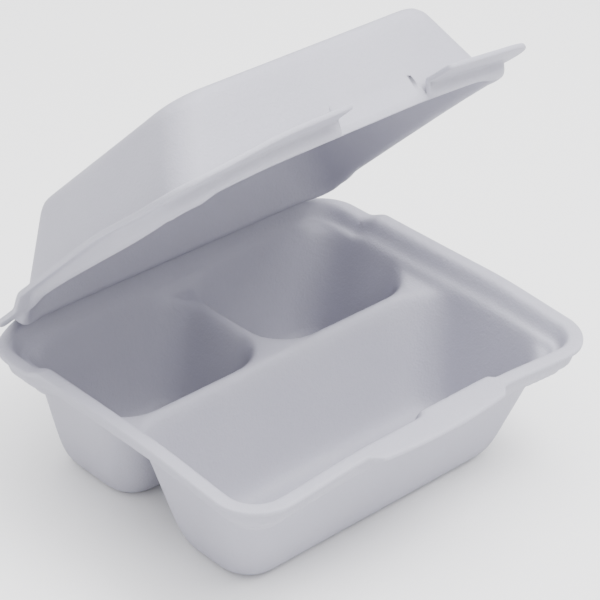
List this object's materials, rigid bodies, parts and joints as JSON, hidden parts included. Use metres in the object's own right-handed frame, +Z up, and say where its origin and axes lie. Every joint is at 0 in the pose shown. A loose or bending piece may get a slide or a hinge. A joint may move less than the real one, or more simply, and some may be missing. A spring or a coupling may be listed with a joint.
{
  "type": "foam clamshell container",
  "caption": "Hinged foam food container: divided tray with a front tab and a domed lid that nests in its rim, on a living hinge.",
  "frame": {"origin": "centre of the large front foot, on the plane the container stands on", "axes": "+Z up, -Y towards the front tab, +X along the hinge"},
  "size_m": [0.21, 0.1964, 0.2116],
  "materials": {
    "foam_tray": "soft satin expanded foam skin",
    "foam_lid": "soft satin expanded foam skin"
  },
  "bodies": {
    "tray": {"base_tray": "foam_tray"},
    "lid_body": {"lid": "foam_lid"}
  },
  "joints": [
    {"name": "lid_hinge", "type": "hinge", "parent": "tray", "child": "lid_body", "pos_m": [0, 0.1242, 0.07115], "axis": [-1, 0, 0], "range_deg": [-43, 137]}
  ]
}
